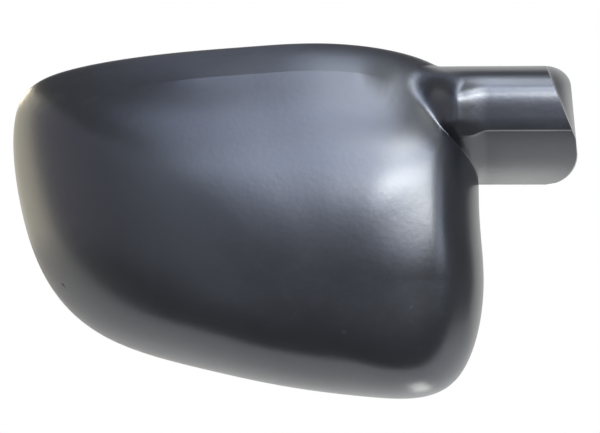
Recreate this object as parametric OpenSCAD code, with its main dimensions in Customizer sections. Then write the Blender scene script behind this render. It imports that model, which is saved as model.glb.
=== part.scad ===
// Cover for a door mirror: one moulded shell, open at its back.
// Millimetres. +Z is up, the front faces -Y and the arm reaches to +X.
// The origin is at the mouth of the locating boss, inside the shell.

/* [Body] */
// Width of the body at its rim
body_w = 215.5; // [195:0.5:235]
// Height of the body at its rim
body_h = 161.6; // [148:0.2:175]
// Depth of the body from the rim plane to its front
body_d = 46; // [42:0.5:54]
// Thickness of the wall everywhere
wall = 2.5; // [2:0.1:3]

/* [Brow] */
// How far the panel above the brow line stands out
brow_h = 1.6; // [0.8:0.1:3.6]
// Width of the hollow under the brow line
brow_w = 17.5; // [10:0.5:22]

/* [Arm] */
// Reach of the arm's lower corner past the locating boss
arm_reach = 124; // [116:1:134]
// Height of the arm at its rim
arm_h = 53.6; // [49:0.2:56]
// Height of the arm's lower edge over the locating boss
arm_low = 14.4; // [12:0.2:17]
// Depth of the arm from the rim plane to its front
arm_d = 28; // [25:0.5:31]
// Step down from the arm's front panel to the surface below it
step_d = 1.3; // [0.6:0.1:1.8]
// Height of the step over the arm's lower edge
step_z = 23.9; // [20:0.1:27]
// How far the soft neck reaches into both shapes
neck_r = 32; // [16:1:38]

/* [Fixings] */
// Radius of the bore in each boss
bore_r = 2.1; // [1.5:0.1:2.4]
// Radius of each boss
boss_r = 4.6; // [4.2:0.1:6]
// Depth of the bore in each boss
bore_l = 14; // [8:1:18]
// Distance from the rim plane down to the mouth of the locating boss
mouth_d = 16; // [12:1:20]
// Thickness of the stiffening ribs
rib_t = 1.8; // [1.4:0.1:2.4]
// Width of each snap hook
hook_w = 11; // [8:0.5:14]
// Thickness of each snap hook
hook_t = 2; // [1.6:0.1:2.6]

/* [Hidden] */
$fn = 48;

// control points of the body's rim, counter-clockwise from the upper right,
// in shares of its width and height
RIM = [
    [0.2766, 0.4524], [0.0557, 0.4975], [-0.1239, 0.4783], [-0.2891, 0.4653],
    [-0.5244, 0.4214], [-0.6390, 0.3410], [-0.6107, 0.0000], [-0.5457, -0.2246],
    [-0.4190, -0.3663], [-0.2111, -0.4332], [-0.0432, -0.4814], [0.1471, -0.5111],
    [0.3392, -0.5198], [0.3921, -0.1993], [0.3633, -0.0105], [0.3759, 0.3212]
];
// point of the rim plane behind the body's frontmost spot
cx = 0.0557 * body_w;
cz = -0.164 * body_h;

// shape of the roll from front to rim, to the right, up, left and down: where it starts and how round it is
ROLL_P = [4.1, 2.4, 3, 3.8];
ROLL_M = [2.3, 1.2, 1.2, 1.85];
// what is added to the first of these towards each corner: upper right, upper left, lower left, lower right
CORNER_P = [-0.6, 0, 0.6, 1.2];

// the brow line, as a share of the way from the frontmost spot to the rim, and its angles
brow_at = 0.872;
BROW_FROM = [70.5, 82];
BROW_TO = [123, 138.5];

// the arm's outline
arm_top = arm_low + arm_h;
arm_mid = arm_low + 0.555 * arm_h;
step_at = arm_low + step_z;
edge_in = 14.4;
edge_up = 17.2;
edge_top = arm_reach - edge_in;
edge_low = arm_low + edge_up;
bevel = 0.6;
rim_y = mouth_d;
// the corners of the arm's end, and its slant
top_corner = [10.5, 9];
low_corner = [14.5, 13.5];
end_slant = 0.093;
// the panel's crown, and how soon the arm sinks into the body
crown_d = 80;
sink_d = 69;
// the neck's hollow starts and ends at these heights over the arm's lower edge
neck_from = 30;
neck_to = 49;

// x where the arm joins the body's patch, at the top rim, and where the arm starts to sink into the body
join_x = 0.2552 * body_w;
neck_x = 0.3434 * body_w;
fade_w = 10;
step_fall = 2.4;
// a swelling of the arm's panel towards the neck: where it starts, how tightly it turns,
// and its heights over the lower edge
swell_x = neck_x + fade_w;
swell_r = 28;
SWELL_Z = [20, 28, 38, 44];

function ease(a, b, v) =
    let(t = max(0, min(1, (v - a) / (b - a))))
    t * t * (3 - 2 * t);
function root(v, m) = sign(v) * pow(abs(v), 1 / m);
// the larger of two heights, with a soft hollow of size k between them
function soft_max(a, b, k) =
    let(h = max(k - abs(a - b), 0) / k)
    max(a, b) + h * h * h * k / 6;
function soft_min(a, b, k) = -soft_max(-a, -b, k);

// point t of the closed cubic spline, t from 0 to 1
function rim_point(t) =
    let(n = len(RIM), s = t * n, k = floor(s), u = s - k)
    let(b = [pow(1 - u, 3), 4 - 6 * u * u + 3 * pow(u, 3), 1 + 3 * u + 3 * u * u - 3 * pow(u, 3), pow(u, 3)])
    let(p = [for (j = [0 : 3]) RIM[(k + j + n - 1) % n] * b[j] / 6])
    let(q = p[0] + p[1] + p[2] + p[3])
    [q[0] * body_w, q[1] * body_h];

// angle and distance of the rim as seen from the frontmost spot
RIM_STEPS = 240;
RAW = [for (i = [0 : RIM_STEPS]) rim_point(i / RIM_STEPS) - [cx, cz]];
A0 = atan2(RAW[0][1], RAW[0][0]);
function wrap(a) = a - 360 * floor((a - A0) / 360);
TABLE = [
    for (i = [0 : RIM_STEPS])
        [i == 0 ? A0 : i == RIM_STEPS ? A0 + 360 : wrap(atan2(RAW[i][1], RAW[i][0])), norm(RAW[i])]
];
function rim_r(a) = lookup(wrap(a), TABLE);

// blend of four values by direction
function by_angle(q, a) =
    let(c = cos(a), s = sin(a))
    (c > 0 ? q[0] : q[2]) * c * c + (s > 0 ? q[1] : q[3]) * s * s;
function corner(a) =
    let(c = cos(a), s = sin(a))
    4 * c * c * s * s * (c > 0 ? (s > 0 ? CORNER_P[0] : CORNER_P[3]) : (s > 0 ? CORNER_P[1] : CORNER_P[2]));

// how far the brow stands out at share rho of the way to the rim
function brow(rho, a, r) =
    let(size = ease(BROW_FROM[0], BROW_FROM[1], a) * (1 - ease(BROW_TO[0], BROW_TO[1], a)))
    let(below = (brow_at - rho) * r / brow_w)
    let(foot = pow(max(0, 1 - below), 3))
    let(top = 1 + (brow_at - rho) / (1 - brow_at))
    brow_h * size * soft_min(foot, top, 0.04);

// depth of the body in front of the rim plane, t is the inset
function body_depth(x, z, t) =
    let(dx = x - cx, dz = z - cz, a = atan2(dz, dx), r = rim_r(a), rho = norm([dx, dz]) / (r - t))
    let(p = by_angle(ROLL_P, a) + corner(a), m = by_angle(ROLL_M, a))
    (body_d - t) * root(1 - pow(rho, p), m) + brow(rho, a < -90 ? a + 360 : a, r);

// right end of the arm at height z
function end_x(z) =
    let(low = arm_low + low_corner[1], high = arm_top - top_corner[1])
    let(line = arm_reach - end_slant * max(0, z - low))
    let(a = (z - high) / (arm_top - high), b = (low - z) / (low - arm_low))
    z > high ? line - top_corner[0] * (1 - sqrt(max(0, 1 - a * a)))
    : z < low ? line - low_corner[0] * (1 - sqrt(max(0, 1 - b * b)))
    : line;
// slanted edge of the arm's front panel at height z
function edge_x(z) =
    let(s = (arm_top - z) / (arm_top - edge_low))
    min(end_x(z) - bevel, edge_top + edge_in * pow(max(0, s), 1.1));

// the step line sinks and fades out towards the neck
function step_line(x) = step_at - step_fall * (1 - ease(neck_x + 0.2 * fade_w, neck_x + fade_w, x));
function step_size(x) = step_d * ease(neck_x - 0.1 * fade_w, neck_x + fade_w, x);

// depth of the arm's section
function arm_section(x, z, t) =
    let(line = step_line(x), low = arm_low + t, d = arm_d - t)
    let(panel = d - pow(arm_mid - line, 2) / crown_d)
    let(s = (line - z) / (line - low))
    let(under = (panel - step_size(x)) * (1 - 0.685 * s - 0.315 * pow(s, 2.46)))
    z > arm_mid ? d * root(1 - pow((z - arm_mid) / (arm_top - t - arm_mid), 3.85), 2)
    : z > line ? d - pow(arm_mid - z, 2) / crown_d
    : z > line - bevel ? under + (panel - under) * (1 - (line - z) / bevel)
    : under;
function swell(x, z) =
    let(q = min(1.2 * fade_w, max(0, swell_x - x)), v = z - arm_low)
    ease(SWELL_Z[0], SWELL_Z[1], v) * (1 - ease(SWELL_Z[2], SWELL_Z[3], v)) * q * q / (2 * swell_r);
function arm_depth(x, z, t) =
    let(e = edge_x(z), w = max(bevel / 2, end_x(z) - e - t), s = (x - e) / w)
    let(lip = z > edge_low ? step_d * ease(0, bevel, x - e) : 0)
    let(h = arm_section(x, z, t) + swell(x, z) - pow(max(0, neck_x - x), 2) / sink_d)
    x <= e ? h : min(h, (h - lip) * (1 - 0.5 * s - 0.5 * pow(s, 4)));

function neck_size(z) = max(bevel, neck_r * ease(arm_low + neck_from, arm_low + neck_to, z));
function depth(x, z, t) = soft_max(body_depth(x, z, t), arm_depth(x, z, t), neck_size(z));

// zero crossing of the depth between two points, by halving
function cross_at(p, q, t, n = 16) =
    let(m = (p + q) / 2)
    n == 0 ? m
    : depth(m[0], m[1], t) > 0 ? cross_at(m, q, t, n - 1)
    : cross_at(p, m, t, n - 1);
function body_cross(x, y0, t, n = 16) =
    let(m = (x + y0) / 2)
    n == 0 ? m
    : body_depth(m, arm_low + t, t) > 0 ? body_cross(m, y0, t, n - 1)
    : body_cross(x, m, t, n - 1);

// rows of the arm from its lower to its top edge, and columns past the join
step_v = step_z / arm_h;
ROWS = [
    0, 0.045, 0.11, 0.19, 0.27, 0.35, 0.41, step_v - bevel / arm_h - 0.001, step_v,
    0.5, 0.56, 0.63, 0.7, 0.77, 0.84, 0.9, 0.945, 0.975, 0.993, 1
];
COLS = [0.08, 0.17, 0.27, 0.38, 0.5, 0.64, 0.82, 1];
TIPS = [0.12, 0.4, 0.7, 0.9, 1];
nv = len(ROWS);
nc = len(COLS) + len(TIPS);
RIM_CUTS = 88;

function arm_z(x, v, t) =
    let(hi = x > neck_x + 1.6 * fade_w ? arm_top - t : cross_at([x, arm_mid], [x, arm_top + edge_in], t)[1])
    arm_low + t + (hi - arm_low - t) * v;
function join_point(v, t) =
    let(xn = body_cross(0.28 * body_w, 0.46 * body_w, t), x = xn + (join_x - xn) * v)
    [x, arm_z(x, v, t)];
function arm_point(c, v, t) =
    let(a = join_point(v, t), zr = arm_low + t + (arm_h - 2 * t) * v)
    let(e = edge_x(zr) - (v > 0.5 ? t * 0.3 : t), o = end_x(zr) - t)
    let(x = c < len(COLS) ? a[0] + (e - a[0]) * COLS[c] : e + (o - e) * TIPS[c - len(COLS)])
    [x, arm_z(x, v, t)];

// angles of the rim cuts, evenly spaced along the rim
function rim_angles(a, b) =
    let(n = 180, step = (b - a) / n)
    let(len_at = [for (i = 0, s = 0; i <= n; i = i + 1, s = s + rim_r(a + i * step)) [s, a + i * step]])
    let(total = len_at[n][0])
    [for (i = [1 : RIM_CUTS - 1]) lookup(total * i / RIM_CUTS, len_at)];

function edge_loop(t) =
    let(join = [for (v = ROWS) join_point(v, t)])
    let(a = atan2(join[nv - 1][1] - cz, join[nv - 1][0] - cx), b = atan2(join[0][1] - cz, join[0][0] - cx))
    let(angles = rim_angles(a, b + 360))
    concat(join, [
        for (g = angles)
            let(d = [cos(g), sin(g)], o = [cx, cz])
            cross_at(o + d * 0.85 * rim_r(g), o + d * 1.15 * rim_r(g), t)
    ]);

RINGS_OUT = [
    0.13, 0.27, 0.4, 0.52, 0.62, 0.7, 0.765, 0.82, 0.852, 0.87, 0.88, 0.907, 0.935, 0.96, 0.98, 0.993, 1
];
RINGS_IN = [0.2, 0.4, 0.58, 0.7, 0.79, 0.855, 0.9, 0.94, 0.97, 0.99, 1];

n = nv + RIM_CUTS - 1;
function skin(t, rings) =
    let(loop = edge_loop(t), o = [cx, cz], last = len(rings) - 1)
    concat(
        [[cx, rim_y - depth(cx, cz, t), cz]],
        [
            for (j = [0 : last], i = [0 : n - 1])
                let(q = o + (loop[i] - o) * rings[j])
                [q[0], rim_y - (j == last && (i == 0 || i >= nv - 1) ? 0 : depth(q[0], q[1], t)), q[1]]
        ],
        [
            for (c = [0 : nc - 1], r = [0 : nv - 1])
                let(q = arm_point(c, ROWS[r], t))
                let(on_rim = r == 0 || r == nv - 1 || c == nc - 1)
                [q[0], rim_y - (on_rim ? 0 : depth(q[0], q[1], t)), q[1]]
        ]
    );

function ring_at(k, j, i) = k + 1 + j * n + i % n;
function arm_at(k, rings, c, r) = c < 0 ? ring_at(k, rings - 1, r) : k + 1 + rings * n + c * nv + r;
// triangles of one skin, counter-clockwise as seen from the front
function skin_faces(k, rings) = concat(
    [for (i = [0 : n - 1]) [k, ring_at(k, 0, i), ring_at(k, 0, i + 1)]],
    [
        for (j = [0 : rings - 2], i = [0 : n - 1])
            let(a = ring_at(k, j, i), b = ring_at(k, j + 1, i))
            let(c = ring_at(k, j + 1, i + 1), d = ring_at(k, j, i + 1))
            each [[a, b, c], [a, c, d]]
    ],
    [
        for (c = [-1 : nc - 2], r = [0 : nv - 2])
            let(a = arm_at(k, rings, c, r), b = arm_at(k, rings, c + 1, r))
            let(d = arm_at(k, rings, c, r + 1), e = arm_at(k, rings, c + 1, r + 1))
            each [[a, b, e], [a, e, d]]
    ]
);
function flip(f) = [for (t = f) [t[0], t[2], t[1]]];
function rim_loop(k, rings) = concat(
    [for (i = [nv - 1 : n - 1]) ring_at(k, rings - 1, i)],
    [ring_at(k, rings - 1, 0)],
    [for (c = [0 : nc - 1]) arm_at(k, rings, c, 0)],
    [for (r = [1 : nv - 1]) arm_at(k, rings, nc - 1, r)],
    [for (c = [nc - 2 : -1 : 0]) arm_at(k, rings, c, nv - 1)]
);

module shell() {
    ro = len(RINGS_OUT);
    ri = len(RINGS_IN);
    front = skin(0, RINGS_OUT);
    back = skin(wall, RINGS_IN);
    k = len(front);
    a = rim_loop(0, ro);
    b = rim_loop(k, ri);
    m = len(a);
    band = [
        for (i = [0 : m - 1])
            each [[a[i], a[(i + 1) % m], b[(i + 1) % m]], [a[i], b[(i + 1) % m], b[i]]]
    ];
    faces = concat(flip(skin_faces(0, ro)), skin_faces(k, ri), band);
    polyhedron(points = concat(front, back), faces = faces);
}

// y of the middle of the wall
function mid_y(x, z) = rim_y - depth(x, z, wall / 2);

// bosses: centre of each mouth, and the ribs that cross at them
left_x = -0.3712 * body_w;
left_in = 10;
arm_boss_in = 22;
arm_boss_down = 5;
arm_mouth_in = 6;
arm_rib_in = 34;
BOSSES = [
    [0, 0, 0],
    [left_x, rim_y - left_in, 0],
    [arm_reach - arm_boss_in, rim_y - arm_mouth_in, arm_mid - arm_boss_down]
];
long_rib_h = 9;
left_rib_h = 7;
arm_rib_h = 5;

module along(p) {
    translate(p)
        rotate([-90, 0, 0])
            children();
}
module boss(p) {
    far = mid_y(p[0], p[2]);
    along([p[0], far, p[2]])
        cylinder(r = boss_r, h = p[1] - far);
}
module bore(p) {
    along([p[0], p[1] - bore_l, p[2]])
        cylinder(r = bore_r, h = bore_l + 1);
}

// upright plates that follow the inside of the wall, lower at both ends
function rib_h(h, s) = wall / 2 + h * (0.25 + 0.75 * ease(0, 0.12, min(s, 1 - s)));
module rib_along_x(z, x1, x2, h, steps = 14) {
    s = [for (i = [0 : steps]) i / steps];
    low = [for (t = s) [x1 + (x2 - x1) * t, mid_y(x1 + (x2 - x1) * t, z)]];
    high = [for (i = [steps : -1 : 0]) low[i] + [0, rib_h(h, s[i])]];
    translate([0, 0, z])
        linear_extrude(height = rib_t, center = true)
            polygon(concat(low, high));
}
module rib_along_z(x, z1, z2, h, steps = 14) {
    s = [for (i = [0 : steps]) i / steps];
    low = [for (t = s) [z1 + (z2 - z1) * t, mid_y(x, z1 + (z2 - z1) * t)]];
    high = [for (i = [steps : -1 : 0]) low[i] + [0, rib_h(h, s[i])]];
    translate([x, 0, 0])
        rotate([0, -90, 0])
            linear_extrude(height = rib_t, center = true)
                polygon(concat(low, high));
}

// snap hooks: a springy tongue inside the rim, its barb turned inwards
HOOK_AT = [101, 127, 186, 236, 292, 338];
hook_in = 8;
barb = 1.8;
barb_l = 3;
function rim_at(a) = [cx, cz] + rim_r(a) * [cos(a), sin(a)];
module hook(a) {
    run = rim_at(a + 2) - rim_at(a - 2);
    out = atan2(run[1], run[0]) - 90;
    q = rim_at(a) - hook_in * [cos(out), sin(out)];
    low = mid_y(q[0], q[1]);
    high = rim_y - hook_t / 2;
    translate([q[0], 0, q[1]])
        rotate([0, -out, 0])
            linear_extrude(height = hook_w, center = true)
                polygon([
                    [hook_t / 2, low], [hook_t / 2, high], [-hook_t / 2, high],
                    [-hook_t / 2 - barb, high - barb_l], [-hook_t / 2, high - barb_l - bevel], [-hook_t / 2, low]
                ]);
}

module mirror_cover() {
    color("#2b2d33") {
        difference() {
            union() {
                shell();
                for (p = BOSSES) boss(p);
                rib_along_x(0, -0.538 * body_w, 0.269 * body_w, long_rib_h);
                rib_along_z(0, -0.347 * body_h, 0.322 * body_h, long_rib_h);
                rib_along_z(left_x, -0.21 * body_h, 0.248 * body_h, left_rib_h);
                rib_along_z(arm_reach - arm_rib_in, arm_low + 0.15 * arm_h, arm_top - top_corner[1], arm_rib_h);
                for (a = HOOK_AT) hook(a);
            }
            for (p = BOSSES) bore(p);
        }
    }
}

mirror_cover();
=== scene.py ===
"""Looks of a door mirror's cover: a dark satin moulding in a plain pale studio.

The form's lengths are in millimetres, as in the part's source; meshes, lamps and the camera are
in metres. +Z is up, the front faces -Y, the arm reaches to +X, and the origin is at the
locating boss's mouth.
"""

import logging
import math
from collections.abc import Callable, Sequence
from dataclasses import dataclass, field
from enum import Enum
from functools import cached_property
from typing import Any

import bpy
import numpy as np
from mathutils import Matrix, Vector


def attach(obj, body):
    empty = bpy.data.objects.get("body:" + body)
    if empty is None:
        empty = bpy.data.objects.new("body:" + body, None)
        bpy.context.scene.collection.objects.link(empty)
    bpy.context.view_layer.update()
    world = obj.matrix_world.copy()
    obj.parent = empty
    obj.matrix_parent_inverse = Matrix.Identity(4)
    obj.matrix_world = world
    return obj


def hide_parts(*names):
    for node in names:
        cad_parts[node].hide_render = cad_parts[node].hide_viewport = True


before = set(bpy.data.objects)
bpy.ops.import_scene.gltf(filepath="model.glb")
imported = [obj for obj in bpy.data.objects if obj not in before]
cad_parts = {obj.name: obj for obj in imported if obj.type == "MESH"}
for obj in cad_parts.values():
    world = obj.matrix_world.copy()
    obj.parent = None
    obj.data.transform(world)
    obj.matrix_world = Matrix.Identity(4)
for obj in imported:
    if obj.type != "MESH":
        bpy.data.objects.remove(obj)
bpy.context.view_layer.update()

LOG = logging.getLogger("mirror_cover")
MM = 0.001
WORLD_GREY = 0.17
CARD_GAP = 0.003
POWER_PER_RADIANCE = 4.0
Array = np.ndarray
Pair = tuple[float, float]
Triple = tuple[float, float, float]
Colour = tuple[float, float, float, float]
Faces = list[tuple[int, ...]]


class Mixing(Enum):
    """How a Mix node joins two colours."""

    PLAIN = "MIX"
    MULTIPLY = "MULTIPLY"


class Joining(Enum):
    """How a shape is joined to the moulding."""

    ADD = "UNION"
    CUT = "DIFFERENCE"


class Value:
    """A number that varies over a surface, written in ordinary arithmetic."""

    def __init__(self, shader: "Shader", socket: bpy.types.NodeSocket) -> None:
        """Wraps one output socket of a shader.

        Args:
            shader: the shader that the socket belongs to.
            socket: the output socket.
        """
        self.shader = shader
        self.socket = socket

    def _math(self, operation: str, *values: Any) -> "Value":
        """Adds a Math node.

        Args:
            operation: the node's operation.
            values: its inputs, numbers or Values.

        Returns:
            The node's result.
        """
        return self.shader.node("ShaderNodeMath", {"operation": operation}, dict(enumerate(values)))

    def __add__(self, other: Any) -> "Value":
        """Sum."""
        return self._math("ADD", self, other)

    __radd__ = __add__

    def __mul__(self, other: Any) -> "Value":
        """Product."""
        return self._math("MULTIPLY", self, other)

    __rmul__ = __mul__

    def __sub__(self, other: Any) -> "Value":
        """Difference."""
        return self._math("SUBTRACT", self, other)

    def __rsub__(self, other: Any) -> "Value":
        """Difference, with the number first."""
        return self._math("SUBTRACT", other, self)

    def ramp(self, low: float, high: float) -> "Value":
        """Smooth step from 0 at low to 1 at high.

        Args:
            low: the value that gives 0.
            high: the value that gives 1.

        Returns:
            The stepped value.
        """
        return self.shader.node(
            "ShaderNodeMapRange",
            {"interpolation_type": "SMOOTHSTEP"},
            {"Value": self, "From Min": low, "From Max": high},
        )


class Shader:
    """A material's node tree, with one method that adds any node."""

    def __init__(self, name: str) -> None:
        """Makes a material with only an output node.

        Args:
            name: the material's name.
        """
        self.material = bpy.data.materials.new(name)
        self.material.use_nodes = True
        self.tree = self.material.node_tree
        self.tree.nodes.clear()
        self.output = self.tree.nodes.new("ShaderNodeOutputMaterial")

    def node(
        self, kind: str, settings: dict[str, Any] | None = None,
        inputs: dict[Any, Any] | None = None, out: str | int = 0,
    ) -> Value:
        """Adds one node.

        Args:
            kind: the node's type.
            settings: properties of the node, set before its sockets.
            inputs: values or links by socket name or number.
            out: the output socket that is wanted.

        Returns:
            The wanted output as a Value.
        """
        added = self.tree.nodes.new(kind)
        for key, value in (settings or {}).items():
            setattr(added, key, value)
        for key, value in (inputs or {}).items():
            if isinstance(value, Value):
                self.tree.links.new(value.socket, added.inputs[key])
            else:
                added.inputs[key].default_value = value
        return Value(self, added.outputs[out])

    def position(self) -> Value:
        """Place in the row frame, in metres: a node's object sits at the origin."""
        return self.node("ShaderNodeTexCoord", out="Object")

    def noise(self, place: Value, scale: float, detail: float, rough: float) -> Value:
        """Noise in the row frame.

        Args:
            place: the coordinates.
            scale: cells per metre.
            detail: octaves.
            rough: strength of the finer octaves.

        Returns:
            A value about 0.5.
        """
        return self.node(
            "ShaderNodeTexNoise", {},
            {"Vector": place, "Scale": scale, "Detail": detail, "Roughness": rough},
        )

    def stretch(self, place: Value, scale: Triple, turn: float) -> Value:
        """Turns coordinates in the XZ plane and scales them.

        Args:
            place: the coordinates.
            scale: the factor along each axis.
            turn: degrees about Y.

        Returns:
            The new coordinates.
        """
        return self.node(
            "ShaderNodeMapping", {},
            {"Vector": place, "Scale": scale, "Rotation": (0.0, math.radians(turn), 0.0)},
        )

    def mix_colour(self, how: Mixing, share: Any, a: Any, b: Any) -> Value:
        """Joins two colours.

        Args:
            how: the way they are joined.
            share: how much of the second colour.
            a: the first colour.
            b: the second colour.

        Returns:
            The joined colour.
        """
        settings = {"data_type": "RGBA", "blend_type": how.value}
        return self.node("ShaderNodeMix", settings, {0: share, 6: a, 7: b}, out=2)

    def finish(self, surface: Value) -> bpy.types.Material:
        """Links the surface to the output.

        Args:
            surface: a shader's output.

        Returns:
            The material.
        """
        self.tree.links.new(surface.socket, self.output.inputs["Surface"])
        return self.material


def ease(a: float, b: float, v: Array) -> Array:
    """Smooth step from 0 at a to 1 at b.

    Args:
        a: the lower end.
        b: the upper end.
        v: the values.

    Returns:
        The stepped values.
    """
    t = np.clip((v - a) / (b - a), 0, 1)
    return t * t * (3 - 2 * t)


def soft_max(a: Array, b: Array, k: Array | float) -> Array:
    """Larger of two heights, with a soft hollow between them.

    Args:
        a: the first height.
        b: the second height.
        k: the hollow's size.

    Returns:
        The joined height.
    """
    h = np.maximum(k - np.abs(a - b), 0) / k
    return np.maximum(a, b) + h**3 * k / 6


def signed_root(v: Array, m: Array | float) -> Array:
    """The m-th root of each value, keeping its sign."""
    return np.sign(v) * np.abs(v) ** (1 / m)


def halve(inside: Callable[[Array], Array], low: Array, high: Array, steps: int = 30) -> Array:
    """Finds where a condition ends between two values.

    Args:
        inside: tells for each value whether it is still inside.
        low: values that are inside.
        high: values that are outside.
        steps: how often the gap is halved.

    Returns:
        The values at the change.
    """
    low, high = np.array(low, float), np.array(high, float)
    for _ in range(steps):
        mid = (low + high) / 2
        keep = inside(mid)
        low, high = np.where(keep, mid, low), np.where(keep, high, mid)
    return (low + high) / 2


@dataclass(frozen=True)
class CoverForm:
    """Sizes of the cover and the height of its surface, in millimetres.

    The sizes are the part source's own, but for the sink, the start of the neck's hollow, the swell
    and the shoulder: these shape the seen surface a little more finely.
    """

    # Body: size, wall, and the frontmost spot as shares of width and height.
    body_w: float = 215.5
    body_h: float = 161.6
    body_d: float = 46.0
    wall: float = 2.5
    mouth_d: float = 16.0
    front_spot: Pair = (0.0557, -0.164)
    # Powers of the body's roll to the right, top, left and bottom.
    roll_p: tuple[float, ...] = (4.1, 2.4, 3.0, 3.8)
    roll_m: tuple[float, ...] = (2.3, 1.2, 1.2, 1.85)
    # What the top right, top left, bottom left and bottom right corners add to the first.
    corner_p: tuple[float, ...] = (-0.6, 0.0, 0.6, 1.2)
    # Shoulder of the right flank: size, middle, width; the heights where it comes and goes; how
    # steeply it ends at the rim.
    shoulder: Triple = (1.0, 65.0, 8.0)
    shoulder_z: tuple[float, ...] = (-30.0, 0.0, 28.0, 44.0)
    shoulder_end: float = 12.0
    # Panel above the brow line: size, share of the way to the rim, directions in degrees.
    brow_h: float = 1.6
    brow_w: float = 17.5
    brow_at: float = 0.872
    brow_soft: float = 0.04
    brow_from: Pair = (70.5, 82.0)
    brow_to: Pair = (123.0, 138.5)
    # Arm: size, height of its crown as a share, and places as shares of the body's width.
    arm_reach: float = 124.0
    arm_h: float = 53.6
    arm_low: float = 14.4
    arm_d: float = 28.0
    crown_at: float = 0.555
    join_at: float = 0.2552
    neck_at: float = 0.3434
    # Arm's section: crown, step, and the curves below and above.
    crown_d: float = 80.0
    step_d: float = 1.3
    step_z: float = 23.9
    step_fall: float = 2.4
    under_shares: Pair = (0.685, 0.315)
    under_power: float = 2.46
    upper_power: float = 3.85
    # Arm's end: slanted edge, bevel, corners as width and height, and lean of the end.
    edge_in: float = 14.4
    edge_up: float = 17.2
    bevel: float = 0.6
    top_corner: Pair = (10.5, 9.0)
    low_corner: Pair = (14.5, 13.5)
    end_slant: float = 0.093
    end_power: float = 4.0
    slant_power: float = 1.1
    # Neck: soft hollow, sink of the arm, fade of the step, and swell.
    neck_r: float = 32.0
    neck_from: float = 21.0
    neck_to: float = 49.0
    sink_d: float = 20.0
    fade_w: float = 10.0
    fade_from: Pair = (0.2, -0.1)
    swell_r: float = 28.0
    swell_far: float = 1.2
    swell_end: float = 5.0
    swell_z: tuple[float, ...] = (20.0, 28.0, 36.0, 52.0)
    # Rim: a closed B-spline, its control points as shares of width and height.
    rim_samples: int = 6000
    rim: tuple[Pair, ...] = (
        (0.2766, 0.4523), (0.0557, 0.4975), (-0.1239, 0.4783), (-0.2891, 0.4653),
        (-0.5244, 0.4214), (-0.6390, 0.3410), (-0.6107, 0.0), (-0.5457, -0.2246),
        (-0.4190, -0.3663), (-0.2111, -0.4332), (-0.0432, -0.4814), (0.1471, -0.5111),
        (0.3392, -0.5198), (0.3921, -0.1993), (0.3633, -0.0105), (0.3759, 0.3212),
    )

    @property
    def centre(self) -> Array:
        """Point of the rim plane behind the frontmost spot."""
        return np.array(self.front_spot) * [self.body_w, self.body_h]

    @property
    def arm_top(self) -> float:
        """Height of the arm's upper edge."""
        return self.arm_low + self.arm_h

    @property
    def arm_mid(self) -> float:
        """Height of the crown of the arm's panel."""
        return self.arm_low + self.crown_at * self.arm_h

    @property
    def step_at(self) -> float:
        """Height of the step in the arm's panel."""
        return self.arm_low + self.step_z

    @property
    def edge_low(self) -> float:
        """Height at which the slanted edge meets the arm's end."""
        return self.arm_low + self.edge_up

    @property
    def join_x(self) -> float:
        """Where the arm's patch starts at the top rim."""
        return self.join_at * self.body_w

    @property
    def neck_x(self) -> float:
        """Where the arm starts to sink into the body."""
        return self.neck_at * self.body_w

    @cached_property
    def rim_table(self) -> tuple[Array, Array]:
        """Angle and distance of the rim as seen from the frontmost spot.

        Returns:
            The angles in degrees, rising, and the distances.
        """
        points = np.array(self.rim) * [self.body_w, self.body_h]
        t = np.linspace(0, len(points), self.rim_samples, endpoint=False)
        k = np.floor(t).astype(int)
        u = t - k
        weights = np.array([
            (1 - u) ** 3, 4 - 6 * u**2 + 3 * u**3, 1 + 3 * u + 3 * u**2 - 3 * u**3, u**3,
        ]) / 6
        line = sum(points[(k + j - 1) % len(points)] * weights[j][:, None] for j in range(4))
        offset = line - self.centre
        angle = np.degrees(np.arctan2(offset[:, 1], offset[:, 0]))
        order = np.argsort(angle)
        return angle[order], np.hypot(*offset.T)[order]

    def rim_r(self, angle: Array) -> Array:
        """Distance of the rim at an angle in degrees."""
        return np.interp(angle, *self.rim_table, period=360)

    def brow(self, rho: Array, angle: Array, r: Array) -> Array:
        """How far the panel above the brow line stands out.

        Args:
            rho: share of the way to the rim.
            angle: direction in degrees.
            r: distance of the rim.

        Returns:
            The height of the panel over the body's roll.
        """
        size = ease(*self.brow_from, angle) * (1 - ease(*self.brow_to, angle))
        foot = np.maximum(0, 1 - (self.brow_at - rho) * r / self.brow_w) ** 3
        top = 1 + (self.brow_at - rho) / (1 - self.brow_at)
        return self.brow_h * size * -soft_max(-foot, -top, self.brow_soft)

    def body_depth(self, x: Array, z: Array, t: float) -> Array:
        """Depth of the body in front of the rim plane.

        Args:
            x: place along the body.
            z: height.
            t: inset from the outer surface.

        Returns:
            The depth, below zero outside the rim.
        """
        dx, dz = x - self.centre[0], z - self.centre[1]
        d = np.hypot(dx, dz)
        angle = np.degrees(np.arctan2(dz, dx))
        c, s = np.cos(np.radians(angle)), np.sin(np.radians(angle))
        r = self.rim_r(angle)
        rho = d / (r - t)
        p, m = (
            np.where(c > 0, q[0], q[2]) * c * c + np.where(s > 0, q[1], q[3]) * s * s
            for q in (self.roll_p, self.roll_m)
        )
        upper = np.where(c > 0, self.corner_p[0], self.corner_p[1])
        lower = np.where(c > 0, self.corner_p[3], self.corner_p[2])
        p = p + 4 * c * c * s * s * np.where(s > 0, upper, lower)
        roll = (self.body_d - t) * signed_root(1 - rho**p, m)
        fade = np.clip(self.shoulder_end * (1 - rho), 0, 1)
        turned = np.where(angle < -90, angle + 360, angle)
        return roll + self.brow(rho, turned, r) + fade * self.flank(x, z)

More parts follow.
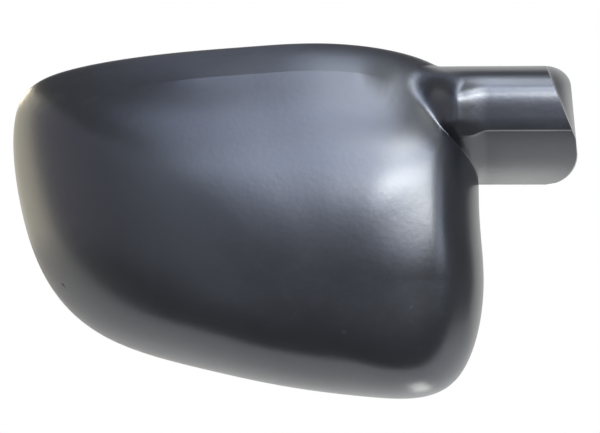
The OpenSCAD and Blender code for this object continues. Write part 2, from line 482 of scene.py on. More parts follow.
    def flank(self, x: Array, z: Array) -> Array:
        """Fuller shoulder of the body's right flank.

        Args:
            x: place along the body.
            z: height.

        Returns:
            How much it adds to the depth.
        """
        size, middle, width = self.shoulder
        window = ease(*self.shoulder_z[:2], z) * (1 - ease(*self.shoulder_z[2:], z))
        return size * window * np.exp(-(((x - middle) / width) ** 2))

    def end_x(self, z: Array) -> Array:
        """Right end of the arm at a height.

        Args:
            z: height.

        Returns:
            x of the end.
        """
        low, high = self.arm_low + self.low_corner[1], self.arm_top - self.top_corner[1]
        line = self.arm_reach - self.end_slant * np.maximum(0, z - low)
        a, b = (z - high) / self.top_corner[1], (low - z) / self.low_corner[1]
        up = line - self.top_corner[0] * (1 - np.sqrt(np.maximum(0, 1 - a * a)))
        down = line - self.low_corner[0] * (1 - np.sqrt(np.maximum(0, 1 - b * b)))
        return np.where(z > high, up, np.where(z < low, down, line))

    def edge_x(self, z: Array) -> Array:
        """Slanted edge of the arm's front panel at a height.

        Args:
            z: height.

        Returns:
            x of the edge.
        """
        s = (self.arm_top - z) / (self.arm_top - self.edge_low)
        slant = self.arm_reach - self.edge_in + self.edge_in * np.maximum(0, s) ** self.slant_power
        return np.minimum(self.end_x(z) - self.bevel, slant)

    def step_line(self, x: Array) -> Array:
        """Height of the step, which sinks towards the neck."""
        start = self.neck_x + self.fade_from[0] * self.fade_w
        return self.step_at - self.step_fall * (1 - ease(start, self.neck_x + self.fade_w, x))

    def step_size(self, x: Array) -> Array:
        """Depth of the step, which fades out towards the neck."""
        start = self.neck_x + self.fade_from[1] * self.fade_w
        return self.step_d * ease(start, self.neck_x + self.fade_w, x)

    def arm_section(self, x: Array, z: Array, t: float) -> Array:
        """Depth of the arm's section.

        Args:
            x: place along the arm.
            z: height.
            t: inset from the outer surface.

        Returns:
            The depth before the arm's end and the neck.
        """
        line, low, d = self.step_line(x), self.arm_low + t, self.arm_d - t
        panel = d - (self.arm_mid - line) ** 2 / self.crown_d
        s = (line - z) / (line - low)
        straight, curved = self.under_shares
        under = (panel - self.step_size(x)) * (
            1 - straight * s - curved * np.abs(s) ** self.under_power
        )
        rise = np.maximum(0, (z - self.arm_mid) / (self.arm_top - t - self.arm_mid))
        up = d * signed_root(1 - rise**self.upper_power, 2)
        slope = under + (panel - under) * (1 - (line - z) / self.bevel)
        crown = d - (self.arm_mid - z) ** 2 / self.crown_d
        below = np.where(z > line - self.bevel, slope, under)
        return np.where(z > self.arm_mid, up, np.where(z > line, crown, below))

    def arm_depth(self, x: Array, z: Array, t: float) -> Array:
        """Depth of the arm in front of the rim plane.

        Args:
            x: place along the arm.
            z: height.
            t: inset from the outer surface.

        Returns:
            The depth, below zero outside the rim.
        """
        e = self.edge_x(z)
        w = np.maximum(self.bevel / 2, self.end_x(z) - e - t)
        s = (x - e) / w
        lip = np.where(z > self.edge_low, self.step_d * ease(0, self.bevel, x - e), 0)
        sink = np.maximum(0, self.neck_x - x) ** 2 / self.sink_d
        h = self.arm_section(x, z, t) + self.swell(x, z) - sink
        end = np.minimum(h, (h - lip) * (1 - s / 2 - s**self.end_power / 2))
        return np.where(x <= e, h, end)

    def swell(self, x: Array, z: Array) -> Array:
        """Swelling of the arm's panel towards the neck.

        Args:
            x: place along the arm.
            z: height.

        Returns:
            How much it adds to the depth.
        """
        far = self.swell_far * self.fade_w
        back = self.neck_x + self.fade_w - x
        q, over = np.clip(back, 0, far), np.clip((back - far) / self.swell_end, 0, 1)
        v = z - self.arm_low
        window = ease(*self.swell_z[:2], v) * (1 - ease(*self.swell_z[2:], v))
        return window * (q * q / 2 + far * self.swell_end * (over - over * over / 2)) / self.swell_r

    def neck_size(self, z: Array) -> Array:
        """Size of the soft hollow between body and arm at a height."""
        grown = ease(self.arm_low + self.neck_from, self.arm_low + self.neck_to, z)
        return np.maximum(self.bevel, self.neck_r * grown)

    def depth(self, x: Array, z: Array, t: float) -> Array:
        """Depth of the whole cover in front of the rim plane.

        Args:
            x: place along the cover.
            z: height.
            t: inset from the outer surface.

        Returns:
            The depth, below zero outside the rim.
        """
        return soft_max(self.body_depth(x, z, t), self.arm_depth(x, z, t), self.neck_size(z))


@dataclass
class Shape:
    """Vertices and faces of a closed form, in millimetres."""

    points: Array
    faces: Faces

    def to_mesh(self, name: str) -> bpy.types.Object:
        """Makes a Blender object in metres.

        Args:
            name: the object's name.

        Returns:
            The object, linked to the scene.
        """
        mesh = bpy.data.meshes.new(name)
        mesh.from_pydata((self.points * MM).tolist(), [], self.faces)
        mesh.validate()
        mesh.update()
        made = bpy.data.objects.new(name, mesh)
        bpy.context.scene.collection.objects.link(made)
        return made


@dataclass
class CoverShell:
    """The moulded wall: an outer and an inner skin, joined round the rim."""

    form: CoverForm = field(default_factory=CoverForm)
    # Fineness: cuts of the rim, the body's rings, the arm's rows and columns.
    rim_cuts: int = 380
    outer_rings: int = 74
    inner_rings: int = 30
    low_rows: int = 30
    high_rows: int = 44
    arm_cols: int = 64
    tip_cols: int = 14
    lip_cuts: tuple[float, ...] = (0.25, 0.5, 0.75, 1)
    # Finer rings at the brow line, and the gap in the even rings that they fill.
    brow_rings: tuple[float, ...] = (
        -0.012, -0.008, -0.005, -0.0025, -0.001, 0, 0.001, 0.0025, 0.005, 0.009,
    )
    brow_gap: float = 0.014
    # How curves are measured: samples, where the arm is cut, the body's reach and roll.
    samples: int = 4000
    turn_samples: int = 2000
    section_x: float = 100.0
    ring_reach: float = 80.0
    ring_power: int = 4
    # Seam: fade widths past the neck where the arm's top is free, shares of the width between
    # which the crease is sought, rows where it turns to the top rim, rounds.
    free_at: float = 1.6
    crease: Pair = (0.2, 0.46)
    seam_turn: Pair = (1.3, 2.0)
    seam_steps: int = 12
    # Shares of the rim's distance that it is sought between: least, most by the arm, most.
    reach: Triple = (0.85, 1.03, 1.15)
    # Share of the inset that the slanted edge takes.
    edge_inset: float = 0.3

    def rows(self) -> Array:
        """Rows of the arm.

        Returns:
            The rows, 0 to 1 below the step and 1 to 2 above it.
        """
        form = self.form
        part = form.bevel / form.step_z
        low = np.concatenate([np.linspace(0, 1 - part, self.low_rows), [1 - part / 2, 1]])
        span = form.arm_top - form.step_at
        z = np.linspace(form.step_at, form.arm_top, self.samples)
        y = form.arm_section(np.full_like(z, self.section_x), z, 0.0)
        run = np.concatenate([[0], np.cumsum(np.hypot(np.diff(z), np.diff(y)))])
        even = np.linspace(0, run[-1], self.high_rows)[1:]
        high = np.interp(even, run, (z - form.step_at) / span)
        return np.concatenate([low, 1 + high])

    def rings(self, count: int, t: float) -> Array:
        """Rings as shares of the way to the rim, evenly spaced along the surface.

        Args:
            count: how many rings.
            t: inset; the outer skin, at 0, gets extra rings at the brow line.

        Returns:
            The shares, rising to 1.
        """
        share = np.linspace(0, 1, self.samples)
        y = (self.form.body_d - t) * (1 - share**self.ring_power) ** 0.5
        step = np.hypot(np.diff(share * self.ring_reach), np.diff(y))
        run = np.concatenate([[0], np.cumsum(step)])
        ring = np.interp(np.linspace(0, run[-1], count + 1)[1:], run, share)
        if t == 0:
            away = np.abs(ring - self.form.brow_at) > self.brow_gap
            ring = np.concatenate([ring[away], self.form.brow_at + np.array(self.brow_rings)])
        return np.sort(ring)

    def row_z(self, x: Array, v: Array, t: float) -> Array:
        """Height of the arm's rows at places along it.

        Args:
            x: places along the arm.
            v: rows, 0 to 2.
            t: inset.

        Returns:
            The heights.
        """
        form = self.form
        low = form.arm_low + t
        line = form.step_line(x)
        free = form.arm_top - t
        ends = (np.full_like(x, z) for z in (form.arm_mid, form.arm_top + form.edge_in))
        top = halve(lambda z: form.depth(x, z, t) > 0, *ends)
        top = np.where(x > form.neck_x + self.free_at * form.fade_w, free, top)
        return np.where(v < 1, low + (line - low) * v, line + (top - line) * (v - 1))

    def join(self, v: Array, t: float) -> Array:
        """Points of the seam between the body's patch and the arm's, along the flank's crease.

        Args:
            v: rows, 0 to 2.
            t: inset.

        Returns:
            x and z of the points.
        """
        form = self.form
        x = np.full_like(v, form.neck_x)
        near, far = (np.full_like(v, share * form.body_w) for share in self.crease)
        turn = ease(*self.seam_turn, v)
        for _ in range(self.seam_steps):
            z = self.row_z(x, v, t)
            crease = halve(
                lambda q: form.body_depth(q, z, t) > np.maximum(0, form.arm_depth(q, z, t)),
                near, far,
            )
            x = crease * (1 - turn) + form.join_x * turn
        return np.stack([x, self.row_z(x, v, t)], -1)

    def loop(self, t: float) -> Array:
        """Edge of the body's patch: up the seam with the arm, then round the rim.

        Args:
            t: inset.

        Returns:
            x and z of the points.
        """
        form = self.form
        seam = self.join(self.rows(), t)
        first, last = (
            math.degrees(math.atan2(*(seam[i] - form.centre)[::-1])) for i in (-1, 0)
        )
        angle = np.linspace(first, last + 360, self.turn_samples)
        run = np.concatenate([[0], np.cumsum(form.rim_r(angle[:-1]))])
        even = np.interp(np.linspace(0, run[-1], self.rim_cuts + 1)[1:-1], run, angle)
        way = np.stack([np.cos(np.radians(even)), np.sin(np.radians(even))], -1)
        rim = form.rim_r(even)
        least, by_arm, most = self.reach
        high = np.where(even > 360, by_arm, most) * rim
        far = halve(
            lambda q: form.depth(*(form.centre + way * q[:, None]).T, t) > 0, least * rim, high
        )
        return np.concatenate([seam, form.centre + way * far[:, None]])

    def arm_grid(self, seam: Array, t: float) -> Array:
        """Points of the arm's patch.

        Args:
            seam: the seam's points, one a row.
            t: inset.

        Returns:
            x and z by column and row.
        """
        form = self.form
        v = self.rows()
        x = np.full_like(v, form.arm_reach)
        z_free = self.row_z(x, v, t)
        end = form.end_x(z_free) - t
        edge = np.minimum(form.edge_x(z_free) - self.edge_inset * t, end - form.bevel)
        lip = np.minimum(form.bevel, (end - edge) / 2)
        columns = []
        for s in np.linspace(0, 1, self.arm_cols + 1)[1:]:
            columns.append(seam[:, 0] + (edge - seam[:, 0]) * s)
        for s in self.lip_cuts:
            columns.append(edge + lip * s)
        for s in np.sin(np.linspace(0, np.pi / 2, self.tip_cols + 1))[1:]:
            columns.append(edge + lip + (end - edge - lip) * s)
        return np.stack([np.stack([c, self.row_z(c, v, t)], -1) for c in columns])

    def skin(self, t: float, ring_count: int) -> tuple[Array, Faces, list[int]]:
        """One skin of the wall.

        Args:
            t: inset from the outer surface.
            ring_count: rings of the body's patch.

        Returns:
            The points, the faces as seen from the front, and the rim's loop.
        """
        form = self.form
        loop = self.loop(t)
        rows = len(self.rows())
        around = len(loop)
        rings = self.rings(ring_count, t)
        flat = form.centre + (loop - form.centre) * rings[:, None, None]
        depth = np.maximum(0, form.depth(flat[..., 0], flat[..., 1], t))
        depth[-1, rows - 1:] = 0
        depth[-1, 0] = 0
        arm = self.arm_grid(loop[:rows], t)
        arm_depth = np.maximum(0, form.depth(arm[..., 0], arm[..., 1], t))
        arm_depth[:, [0, -1]] = 0
        arm_depth[-1] = 0
        hub = form.centre
        xz = np.concatenate([hub[None], flat.reshape(-1, 2), arm.reshape(-1, 2)])
        top = [float(form.depth(hub[0], hub[1], t))]
        d = np.concatenate([top, depth.ravel(), arm_depth.ravel()])
        points = np.stack([xz[:, 0], form.mouth_d - d, xz[:, 1]], -1)

        outer, last = len(rings) - 1, len(arm) - 1

        def ring_at(j: int, i: int) -> int:
            """Number of a point of the body's patch."""
            return 1 + j * around + i % around

        def arm_at(c: int, r: int) -> int:
            """Number of a point of the arm's patch, column -1 being the seam."""
            return ring_at(outer, r) if c < 0 else 1 + len(rings) * around + c * rows + r

        def quad(at: Callable[[int, int], int], j: int, i: int) -> tuple[int, ...]:
            """Face between two neighbours each way."""
            return at(j, i), at(j + 1, i), at(j + 1, i + 1), at(j, i + 1)

        faces = [(0, ring_at(0, i), ring_at(0, i + 1)) for i in range(around)]
        faces += [quad(ring_at, j, i) for j in range(outer) for i in range(around)]
        faces += [quad(arm_at, c, r) for c in range(-1, last) for r in range(rows - 1)]
        rim = [ring_at(outer, i) for i in range(rows - 1, around)] + [ring_at(outer, 0)]
        rim += [arm_at(c, 0) for c in range(last + 1)] + [arm_at(last, r) for r in range(1, rows)]
        rim += [arm_at(c, rows - 1) for c in range(last - 1, -1, -1)]
        return points, faces, rim

    def build(self) -> Shape:
        """Joins both skins round the rim.

        Returns:
            The wall as one closed shape.
        """
        front, front_faces, front_rim = self.skin(0.0, self.outer_rings)
        back, back_faces, back_rim = self.skin(self.form.wall, self.inner_rings)
        shift = len(front)
        faces = list(front_faces)
        faces += [tuple(shift + i for i in reversed(face)) for face in back_faces]
        count = len(front_rim)
        for i in range(count):
            n = (i + 1) % count
            faces.append((front_rim[n], front_rim[i], shift + back_rim[i], shift + back_rim[n]))
        return Shape(np.concatenate([front, back]), faces)


@dataclass
class Fixings:
    """What the cover has inside: bosses, ribs and snap hooks."""

    form: CoverForm = field(default_factory=CoverForm)
    # Bosses: sizes; the left one's share of the width and its depth; how far the arm's one is
    # from the arm's end, the rim plane and the crown.
    boss_r: float = 4.6
    bore_r: float = 2.1
    bore_l: float = 14.0
    bore_over: float = 1.0
    left_boss: Pair = (-0.3712, 10.0)
    arm_boss: Triple = (22.0, 6.0, 5.0)
    # Ribs: ends as shares of the body's size, and height. Arm's rib: distance from the arm's end,
    # foot as a share of the arm's height, and height.
    rib_t: float = 1.8
    level_rib: Triple = (-0.538, 0.269, 9.0)
    upright_rib: Triple = (-0.347, 0.322, 9.0)
    left_rib: Triple = (-0.21, 0.248, 7.0)
    arm_rib: Triple = (34.0, 0.15, 5.0)
    # A rib's ends: height and run of the rise, both as shares; and its cuts.
    rib_low: float = 0.25
    rib_run: float = 0.12
    rib_cuts: int = 29
    # Snap hooks: sizes, directions in degrees, and the turn over which the rim's run is taken.
    hook_w: float = 11.0
    hook_t: float = 2.0
    hook_in: float = 8.0
    barb: float = 1.8
    barb_l: float = 3.0
    hook_at: tuple[float, ...] = (101.0, 127.0, 186.0, 236.0, 292.0, 338.0)
    hook_turn: float = 2.0
    sides: int = 72

    def bosses(self) -> tuple[Triple, ...]:
        """Places of the bosses.

        Returns:
            The centre of each boss's mouth: the locating boss, the left one and the arm's.
        """
        form = self.form
        left, arm = self.left_boss, self.arm_boss
        return (
            (0.0, 0.0, 0.0),
            (left[0] * form.body_w, form.mouth_d - left[1], 0.0),
            (form.arm_reach - arm[0], form.mouth_d - arm[1], form.arm_mid - arm[2]),
        )

    def mid_y(self, x: Array, z: Array) -> Array:
        """y of the middle of the wall."""
        return self.form.mouth_d - self.form.depth(x, z, self.form.wall / 2)

    def ring(self, x: float, z: float, r: float) -> Array:
        """x and z of points round an axis along Y."""
        a = np.linspace(0, 2 * np.pi, self.sides, endpoint=False)
        return np.stack([x + r * np.cos(a), z + r * np.sin(a)], -1)

    def boss(self, x: float, y: float, z: float) -> Shape:
        """A round boss with its mouth at a point, its foot in the middle of the wall all round."""
        outline = self.ring(x, z, self.boss_r)
        return self.prism(outline, self.mid_y(*outline.T), y)

    def prism(self, outline: Array, y1: float | Array, y2: float) -> Shape:
        """A prism along Y.

        Args:
            outline: x and z of its corners, counter-clockwise as seen from the front.
            y1: its front end, one value or one a corner.
            y2: its back end.

        Returns:
            The closed shape.
        """
        near, far = (
            np.stack([outline[:, 0], np.broadcast_to(y, len(outline)), outline[:, 1]], -1)
            for y in (y1, y2)
        )
        return self.block(near, far)

    @staticmethod
    def block(near: Array, far: Array) -> Shape:
        """A closed shape between two outlines.

        Args:
            near: corners of one end.
            far: the same corners at the other end.

        Returns:
            The closed shape.
        """
        n = len(near)
        faces: Faces = [tuple(range(n)), tuple(range(2 * n - 1, n - 1, -1))]
        faces += [(i, n + i, n + (i + 1) % n, (i + 1) % n) for i in range(n)]
        return Shape(np.concatenate([near, far]), faces)

    def rib(self, start: Sequence[float], end: Sequence[float], height: float) -> Shape:
        """A plate that follows the inside of the wall, lower at both ends.

        Args:
            start: x and z of one end.
            end: x and z of the other.
            height: how far it stands off the wall.

        Returns:
            The closed shape.
        """
        s = np.linspace(0, 1, self.rib_cuts)
        xz = np.array(start) + (np.array(end) - np.array(start)) * s[:, None]
        low = self.mid_y(xz[:, 0], xz[:, 1])
        share = self.rib_low + (1 - self.rib_low) * ease(0, self.rib_run, np.minimum(s, 1 - s))
        rise = self.form.wall / 2 + height * share
        way = np.subtract(end, start) / math.dist(start, end)
        off = np.array([way[1], 0, -way[0]]) * self.rib_t
        foot = np.stack([xz[:, 0], low, xz[:, 1]], -1)
        top = foot + np.stack([0 * s, rise, 0 * s], -1)
        side = np.concatenate([foot, top[::-1]]) - off / 2
        return self.block(side, side + off)

    def hook(self, angle: float) -> Shape:
        """A springy tongue inside the rim, its barb turned inwards.

        Args:
            angle: its direction from the frontmost spot, in degrees.

        Returns:
            The closed shape.
        """
        form = self.form

        def rim_at(a: float) -> Array:
            """Point of the rim at an angle."""
            way = np.array([math.cos(math.radians(a)), math.sin(math.radians(a))])
            return form.centre + form.rim_r(np.array(a)) * way

        run = rim_at(angle + self.hook_turn) - rim_at(angle - self.hook_turn)
        out = np.array([run[1], -run[0]]) / np.hypot(*run)
        foot = rim_at(angle) - self.hook_in * out
        low = float(self.mid_y(*foot))
        high = form.mouth_d - self.hook_t / 2
        half = self.hook_t / 2
        profile = (
            (half, low), (half, high), (-half, high), (-half - self.barb, high - self.barb_l),
            (-half, high - self.barb_l - form.bevel), (-half, low),
        )
        side = np.array([[foot[0] + out[0] * q, y, foot[1] + out[1] * q] for q, y in profile])
        along = np.array([-out[1], 0, out[0]]) * self.hook_w
        side = side - along / 2
        return self.block(side, side + along)

    def added(self) -> list[Shape]:
        """Everything that stands on the inside of the wall.

        Returns:
            The bosses, the ribs and the hooks.
        """
        form = self.form
        level, upright, beside, arm = self.level_rib, self.upright_rib, self.left_rib, self.arm_rib
        left, inner = self.bosses()[1][0], form.arm_reach - arm[0]
        low, high = form.arm_low + arm[1] * form.arm_h, form.arm_top - form.top_corner[1]
        shapes = [self.boss(*mouth) for mouth in self.bosses()]
        shapes += [
            self.rib((level[0] * form.body_w, 0), (level[1] * form.body_w, 0), level[2]),
            self.rib((0, upright[0] * form.body_h), (0, upright[1] * form.body_h), upright[2]),
            self.rib((left, beside[0] * form.body_h), (left, beside[1] * form.body_h), beside[2]),
            self.rib((inner, low), (inner, high), arm[2]),
        ]
        return shapes + [self.hook(a) for a in self.hook_at]

    def cut(self) -> list[Shape]:
        """What is cut out of the bosses.

        Returns:
            The bores.
        """
        return [
            self.prism(self.ring(x, z, self.bore_r), y - self.bore_l, y + self.bore_over)
            for x, y, z in self.bosses()
        ]


@dataclass(frozen=True)
class SatinPlastic:
    """Dark moulded plastic with a satin sheen, a fine grain and a little wear."""

    name: str = "dark satin plastic"
    colour: Colour = (0.0085, 0.0092, 0.0115, 1.0)
    dusty: Colour = (0.017, 0.018, 0.0205, 1.0)
    scuffed: Colour = (0.026, 0.027, 0.029, 1.0)
    roughness: float = 0.29
    specular: float = 1.0
    # Noises: cells per metre, octaves and their strength.
    cloud: Triple = (14.0, 4.0, 0.55)
    mottle: Triple = (160.0, 3.0, 0.6)
    grain: Triple = (2600.0, 2.0, 0.6)
    peel: Triple = (420.0, 1.0, 0.5)
    patch: Triple = (60.0, 1.0, 0.5)
    speck: Triple = (900.0, 0.0, 0.5)
    streak: Triple = (160.0, 160.0, 900.0)
    streak_turn: float = 24.0
    streak_noise: Triple = (1.0, 1.0, 0.5)
    # Ramps, from none to full.
    patch_ramp: Pair = (0.56, 0.7)
    speck_ramp: Pair = (0.79, 0.83)
    streak_ramp: Pair = (0.74, 0.80)
    cloud_ramp: Pair = (0.42, 0.72)
    mottle_ramp: Pair = (0.5, 0.8)
    # Shares: specks in the wear; cloud, mottle in the dust; cloud, mottle, wear in the roughness.
    speck_share: float = 0.6
    dust_shares: Pair = (0.5, 0.3)
    rough_shares: Triple = (0.06, 0.04, 0.08)
    # Bumps: strength, and the depths of grain and orange peel in metres.
    bump: Triple = (0.05, 0.0002, 0.0006)

    def make(self) -> bpy.types.Material:
        """Builds the material.

        Returns:
            The material.
        """
        shader = Shader(self.name)
        place = shader.position()
        cloud = shader.noise(place, *self.cloud)
        mottle = shader.noise(place, *self.mottle)
        grain = shader.noise(place, *self.grain)
        peel = shader.noise(place, *self.peel)
        along = shader.stretch(place, self.streak, self.streak_turn)
        streaks = shader.noise(along, *self.streak_noise)
        patches = shader.noise(place, *self.patch).ramp(*self.patch_ramp)
        specks = shader.noise(place, *self.speck).ramp(*self.speck_ramp)
        scuffs = streaks.ramp(*self.streak_ramp) * patches
        wear = (scuffs + specks * self.speck_share).ramp(0.0, 1.0)
        dust = self.dust_shares
        film = cloud.ramp(*self.cloud_ramp) * dust[0] + mottle.ramp(*self.mottle_ramp) * dust[1]
        base = shader.mix_colour(Mixing.PLAIN, film, self.colour, self.dusty)
        base = shader.mix_colour(Mixing.PLAIN, wear, base, self.scuffed)
        rough = self.rough_shares
        spread = (cloud - 0.5) * rough[0] + (mottle - 0.5) * rough[1] + wear * rough[2]
        strength, fine_depth, peel_depth = self.bump
        fine = shader.node(
            "ShaderNodeBump", {}, {"Strength": strength, "Distance": fine_depth, "Height": grain}
        )
        bumps = shader.node(
            "ShaderNodeBump", {},
            {"Strength": strength, "Distance": peel_depth, "Height": peel, "Normal": fine},
        )
        surface = shader.node(
            "ShaderNodeBsdfPrincipled", {},
            {
                "Base Color": base, "Roughness": spread + self.roughness, "Normal": bumps,
                "Specular IOR Level": self.specular,
            },
        )
        return shader.finish(surface)


@dataclass(frozen=True)
class PaleStage:
    """Plain pale paper of the floor and backdrop, white where the camera sees the backdrop."""

    name: str
    colour: Colour = (0.8, 0.8, 0.8, 1.0)
    shaded: Colour = (0.9, 0.9, 0.9, 1.0)
    shade_share: float = 0.05
    roughness: float = 0.9
    specular: float = 0.1
    tooth: Triple = (900.0, 2.0, 0.5)
    shade: Triple = (3.0, 2.0, 0.5)
    bump: Pair = (0.05, 0.0002)
    white: Colour = (1.0, 1.0, 1.0, 1.0)
    lit: bool = False

    def make(self) -> bpy.types.Material:
        """Builds the material.

        Returns:
            The material.
        """
        shader = Shader(self.name)
        place = shader.position()
        tooth = shader.noise(place, *self.tooth)
        shade = shader.noise(place, *self.shade)
        share = shade * self.shade_share
        base = shader.mix_colour(Mixing.MULTIPLY, share, self.colour, self.shaded)
        strength, depth = self.bump
        bump = shader.node(
            "ShaderNodeBump", {}, {"Strength": strength, "Distance": depth, "Height": tooth}
        )
        paper = shader.node(
            "ShaderNodeBsdfPrincipled", {},
            {
                "Base Color": base, "Roughness": self.roughness, "Normal": bump,
                "Specular IOR Level": self.specular,
            },
        )
        if not self.lit:
            return shader.finish(paper)
        white = shader.node("ShaderNodeEmission", {}, {"Color": self.white, "Strength": 1.0})
        seen = (
            shader.node("ShaderNodeLightPath", out="Is Camera Ray")
            + shader.node("ShaderNodeLightPath", out="Is Glossy Ray")
            + shader.node("ShaderNodeLightPath", out="Is Transmission Ray")
        )
        return shader.finish(shader.node("ShaderNodeMixShader", {}, {0: seen, 1: paper, 2: white}))


@dataclass
class MirrorCover:
    """The whole cover as one moulding; edges sharper than an angle in degrees stay crisp."""

    shell: CoverShell = field(default_factory=CoverShell)
    fixings: Fixings = field(default_factory=Fixings)
    finish: SatinPlastic = field(default_factory=SatinPlastic)
    sharp: float = 28.0

    def combine(self, target: bpy.types.Object, shapes: Sequence[Shape], how: Joining) -> None:
        """Joins shapes to the moulding or cuts them out of it.

        Args:
            target: the moulding.
            shapes: closed shapes.
            how: whether they are added or cut out.
        """
        for i, shape in enumerate(shapes):
            tool = shape.to_mesh(f"tool_{how.value.lower()}_{i}")
            modifier = target.modifiers.new(tool.name, "BOOLEAN")
            modifier.object = tool
            modifier.operation = how.value
            modifier.solver = "MANIFOLD"
            depsgraph = bpy.context.evaluated_depsgraph_get()
            made = bpy.data.meshes.new_from_object(target.evaluated_get(depsgraph))
            target.modifiers.clear()
            old = target.data
            target.data = made
            bpy.data.meshes.remove(old)
            bpy.data.objects.remove(tool)

    def build(self) -> bpy.types.Object:
        """Makes the moulding, dresses it and sets it in place of its node.

        Returns:
            The moulding.
        """
        cover = self.shell.build().to_mesh("cover_moulding")
        self.combine(cover, self.fixings.added(), Joining.ADD)
        self.combine(cover, self.fixings.cut(), Joining.CUT)
        mesh = cover.data
        mesh.name = "cover_moulding"
        mesh.materials.clear()
        mesh.materials.append(self.finish.make())
        mesh.shade_smooth()
        mesh.set_sharp_from_angle(angle=math.radians(self.sharp))
        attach(cover, "root")
        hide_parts("mirror_cover")
        return cover


@dataclass
class Studio:
    """Floor and backdrop, in metres."""

    floor_z: float = -0.30
    half_w: float = 1.6
    front_y: float = -0.12
    back_y: float = 1.35
    curve_r: float = 0.3
    curve_cuts: int = 13
    top_z: float = 1.3

    def sheet(self, name: str, line: Array, finish: PaleStage) -> bpy.types.Object:
        """Hangs a sheet of paper that follows a line from front to back.

        Args:
            name: the object's name.
            line: y and z along the sheet.
            finish: its paper.

        Returns:
            The sheet.
        """
        n = len(line)
        points = [(side * self.half_w, y, z) for side in (-1, 1) for y, z in line]
        faces = [(i, n + i, n + i + 1, i + 1) for i in range(n - 1)]
        mesh = bpy.data.meshes.new(name)
        mesh.from_pydata(points, [], faces)
        mesh.materials.append(finish.make())
        mesh.shade_smooth()
        made = bpy.data.objects.new(name, mesh)
        bpy.context.scene.collection.objects.link(made)
        return made

    def build(self) -> list[bpy.types.Object]:
        """Lays the floor and hangs the backdrop.

        Returns:
            Both sheets.
        """
        turn = np.linspace(0, np.pi / 2, self.curve_cuts)
        y = self.back_y - self.curve_r + self.curve_r * np.sin(turn)
        z = self.floor_z + self.curve_r - self.curve_r * np.cos(turn)
        flat = np.array([[self.front_y, self.floor_z], [y[0], z[0]]])
        rise = np.concatenate([np.stack([y, z], -1), [[self.back_y, self.top_z]]])
        return [
            self.sheet("floor", flat, PaleStage("pale floor")),
            self.sheet("backdrop", rise, PaleStage("pale backdrop", lit=True)),
        ]


class Wall(Enum):
    """Side of the studio that a lamp hangs on: its axis, and its place along it in metres."""

    FRONT = (1, -1.0)
    FLOOR = (2, -0.29)
    LEFT = (0, -1.2)
    RIGHT = (0, 1.2)
    CEILING = (2, 1.1)


@dataclass(frozen=True)
class SoftCard:
    """A soft lamp: a flat panel of even light on one side of the studio.

    Its extents are in metres along the wall's two directions, in the order X, Y, Z.
    """

    name: str
    wall: Wall
    across: Pair
    up: Pair
    radiance: Triple

    def build(self, back: float) -> bpy.types.Object:
        """Hangs the lamp.

        Args:
            back: how far behind its wall it hangs, so that no two share a plane; the floor's lamp
                stays in its place.

        Returns:
            The lamp.
        """
        axis, place = self.wall.value
        strength = max(self.radiance)
        width, height = self.across[1] - self.across[0], self.up[1] - self.up[0]
        data = bpy.data.lights.new(self.name, "AREA")
        data.shape = "RECTANGLE"
        data.size, data.size_y = width, height
        data.color = [part / strength for part in self.radiance]
        data.energy = POWER_PER_RADIANCE * width * height * strength
        lamp = bpy.data.objects.new(self.name, data)
        bpy.context.scene.collection.objects.link(lamp)
        way = math.copysign(1.0, place)
        spot = [sum(self.across) / 2, sum(self.up) / 2]
        spot.insert(axis, place if self.wall is Wall.FLOOR else place + way * back)
        lamp.location = spot
        out = Vector([way if i == axis else 0.0 for i in range(3)])
        lamp.rotation_euler = out.to_track_quat("Z", "Y").to_euler()
        lamp.visible_camera = False
        return lamp


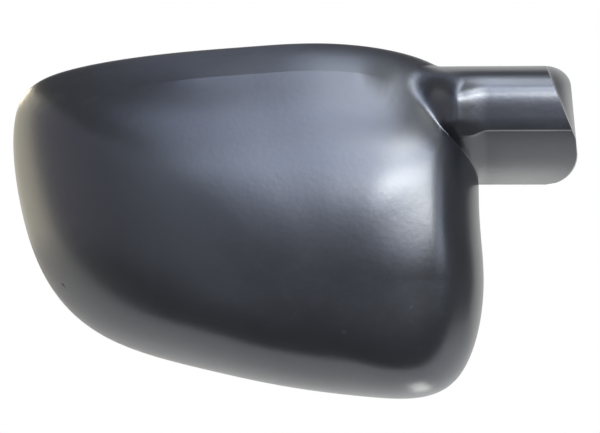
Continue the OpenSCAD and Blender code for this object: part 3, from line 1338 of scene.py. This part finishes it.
CARDS = (
    SoftCard("wash", Wall.FRONT, (-0.1, 0.95), (0.3, 1.1), (0.67, 0.86, 1.6)),
    SoftCard("key", Wall.FRONT, (0.1, 1.0), (0.43, 0.6), (19.5, 20.2, 20.0)),
    SoftCard("key_high", Wall.FRONT, (0.1, 0.7), (0.9, 1.1), (12.5, 12.9, 12.1)),
    SoftCard("key_wide", Wall.FRONT, (-0.3, 1.2), (0.6, 1.1), (1.58, 1.86, 2.49)),
    SoftCard("front_low", Wall.FRONT, (0.1, 0.5), (0.15, 0.45), (1.0, 1.12, 1.5)),
    SoftCard("front_left", Wall.FRONT, (-0.7, 0.0), (0.0, 0.7), (0.2, 0.23, 0.31)),
    SoftCard("far_left", Wall.FRONT, (-1.2, -0.3), (-0.3, 1.0), (0.23, 0.27, 0.34)),
    SoftCard("ceiling_right", Wall.CEILING, (0.45, 1.2), (-0.4, 0.3), (4.0, 4.1, 3.9)),
    SoftCard("ceiling_front", Wall.CEILING, (-0.4, 0.2), (-1.0, -0.4), (1.07, 1.24, 1.83)),
    SoftCard("ceiling_middle", Wall.CEILING, (-0.1, 0.1), (-1.0, 0.3), (2.19, 2.51, 3.18)),
    SoftCard("ceiling_left", Wall.CEILING, (-0.4, -0.1), (0.0, 0.8), (0.23, 0.27, 0.4)),
    SoftCard("ceiling_core", Wall.CEILING, (0.04, 0.14), (-0.6, 0.02), (5.4, 5.7, 6.2)),
    SoftCard("under_arm", Wall.FLOOR, (0.07, 0.13), (0.08, 0.25), (2.3, 2.3, 2.2)),
    SoftCard("left", Wall.LEFT, (0.0, 1.2), (-0.3, 1.0), (1.82, 1.71, 1.38)),
    SoftCard("left_side", Wall.LEFT, (-1.0, 0.0), (-0.3, 1.0), (0.26, 0.25, 0.33)),
    SoftCard("left_back", Wall.LEFT, (0.6, 1.2), (0.5, 1.0), (8.0, 7.0, 5.0)),
    SoftCard("right", Wall.RIGHT, (-1.0, -0.55), (0.1, 0.5), (2.0, 2.3, 2.9)),
)


@dataclass(frozen=True)
class PhotoCamera:
    """Camera at the photograph's angle; lens and sensor are in millimetres."""

    azimuth: float = 5.0
    elevation: float = 0.0
    distance: float = 1.2
    target: Triple = (0.0, -0.004, 0.0)
    lens: float = 160.7
    sensor: float = 36.0
    clip: Pair = (0.01, 50.0)

    def build(self) -> bpy.types.Object:
        """Sets up the camera.

        Returns:
            The camera, made the scene's own.
        """
        a, e = math.radians(self.azimuth), math.radians(self.elevation)
        way = Vector((math.sin(a) * math.cos(e), -math.cos(a) * math.cos(e), math.sin(e)))
        data = bpy.data.cameras.new("camera")
        data.lens, data.sensor_width = self.lens, self.sensor
        data.clip_start, data.clip_end = self.clip
        camera = bpy.data.objects.new("camera", data)
        bpy.context.scene.collection.objects.link(camera)
        camera.location = Vector(self.target) + way * self.distance
        camera.rotation_euler = way.to_track_quat("Z", "Y").to_euler()
        bpy.context.scene.camera = camera
        return camera


def light_world(grey: float) -> None:
    """Gives the world an even grey.

    Args:
        grey: its radiance.
    """
    world = bpy.data.worlds.new("studio")
    bpy.context.scene.world = world
    world.use_nodes = True
    background = world.node_tree.nodes["Background"]
    background.inputs["Color"].default_value = (1.0, 1.0, 1.0, 1.0)
    background.inputs["Strength"].default_value = grey


def main() -> None:
    """Builds the camera, the cover, the stage and the lamps, and reports each."""
    logging.basicConfig(level=logging.INFO, format="%(name)s %(message)s")
    bpy.context.scene.view_settings.view_transform = "Standard"
    camera = PhotoCamera().build()
    LOG.info("%s: %.1f mm lens", camera.name, camera.data.lens)
    cover = MirrorCover().build()
    LOG.info("%s: %d faces", cover.name, len(cover.data.polygons))
    for sheet in Studio().build():
        LOG.info("%s: stage", sheet.name)
    for i, card in enumerate(CARDS):
        lamp = card.build(CARD_GAP * i)
        LOG.info("%s: lamp of %.1f W", lamp.name, lamp.data.energy)
    light_world(WORLD_GREY)


if __name__ == "__main__":
    main()
